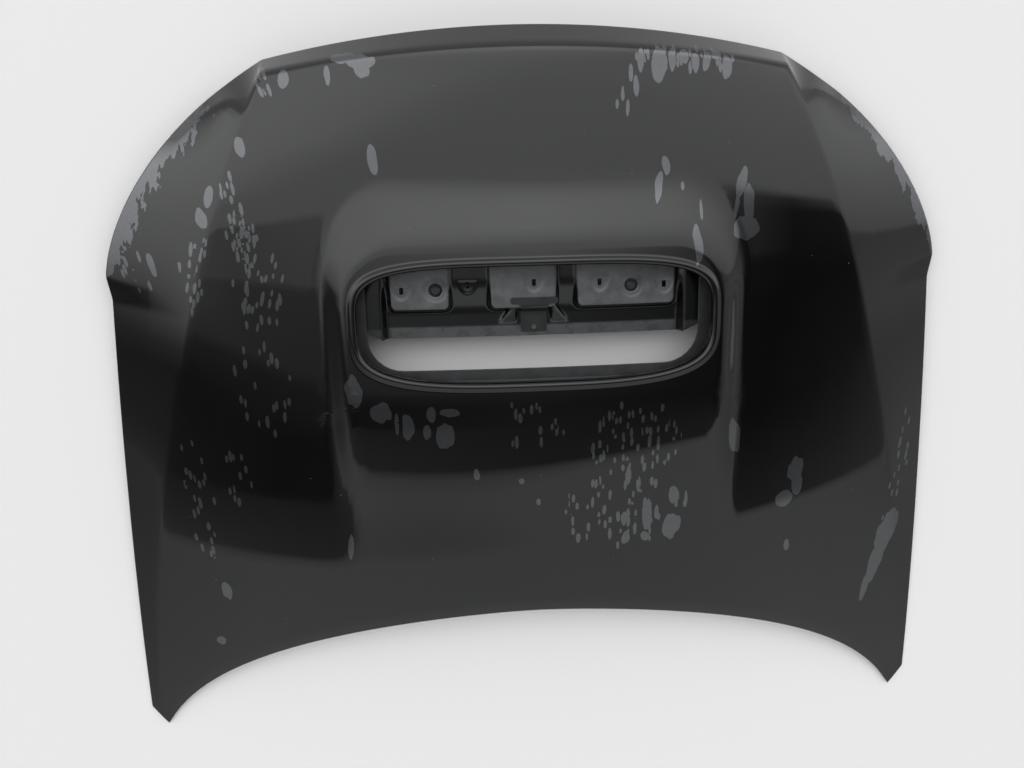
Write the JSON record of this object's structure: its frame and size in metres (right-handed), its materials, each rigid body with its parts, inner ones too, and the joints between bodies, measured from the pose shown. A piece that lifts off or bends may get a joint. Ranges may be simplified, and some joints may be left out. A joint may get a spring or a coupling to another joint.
{
  "type": "car bonnet",
  "caption": "Car bonnet: a hemmed outer skin over a pressed inner frame, with a raised scoop opening, a slotted scoop mounting member, hinge plates and a striker.",
  "frame": {"origin": "middle of the bonnet's bounding box, at its lowest point", "axes": "+X to the right-hand side of the car seen from behind, +Y to the nose, +Z out of the painted face"},
  "size_m": [1.5324, 1.2893, 0.1492],
  "materials": {
    "black_enamel": "gloss black clear-coated enamel, stained",
    "black_primer": "satin black dipped primer",
    "zinc_plate": "zinc plate",
    "mastic": "matt grey mastic",
    "black_plastic": "matt moulded"
  },
  "bodies": {
    "root": {"centre_bracket": "black_primer", "hinge_nut_left_inner": "zinc_plate", "hinge_nut_left_outer": "zinc_plate", "hinge_nut_right_inner": "zinc_plate", "hinge_nut_right_outer": "zinc_plate", "hinge_plate_left": "black_primer", "hinge_plate_right": "black_primer", "inner_frame": "black_primer", "mastic_pad_left_1": "mastic", "mastic_pad_left_2": "mastic", "mastic_pad_left_3": "mastic", "mastic_pad_left_4": "mastic", "mastic_pad_left_5": "mastic", "mastic_pad_right_1": "mastic", "mastic_pad_right_2": "mastic", "mastic_pad_right_3": "mastic", "mastic_pad_right_4": "mastic", "mastic_pad_right_5": "mastic", "outer_skin": "black_enamel", "scoop_mounting_member": "black_primer", "scoop_stud_left": "black_plastic", "scoop_stud_right": "black_plastic", "striker_bolt_left": "zinc_plate", "striker_bolt_right": "zinc_plate", "striker_brace": "black_primer", "striker_loop": "zinc_plate", "striker_nut_left": "zinc_plate", "striker_nut_right": "zinc_plate", "striker_plate": "zinc_plate"}
  },
  "joints": []
}
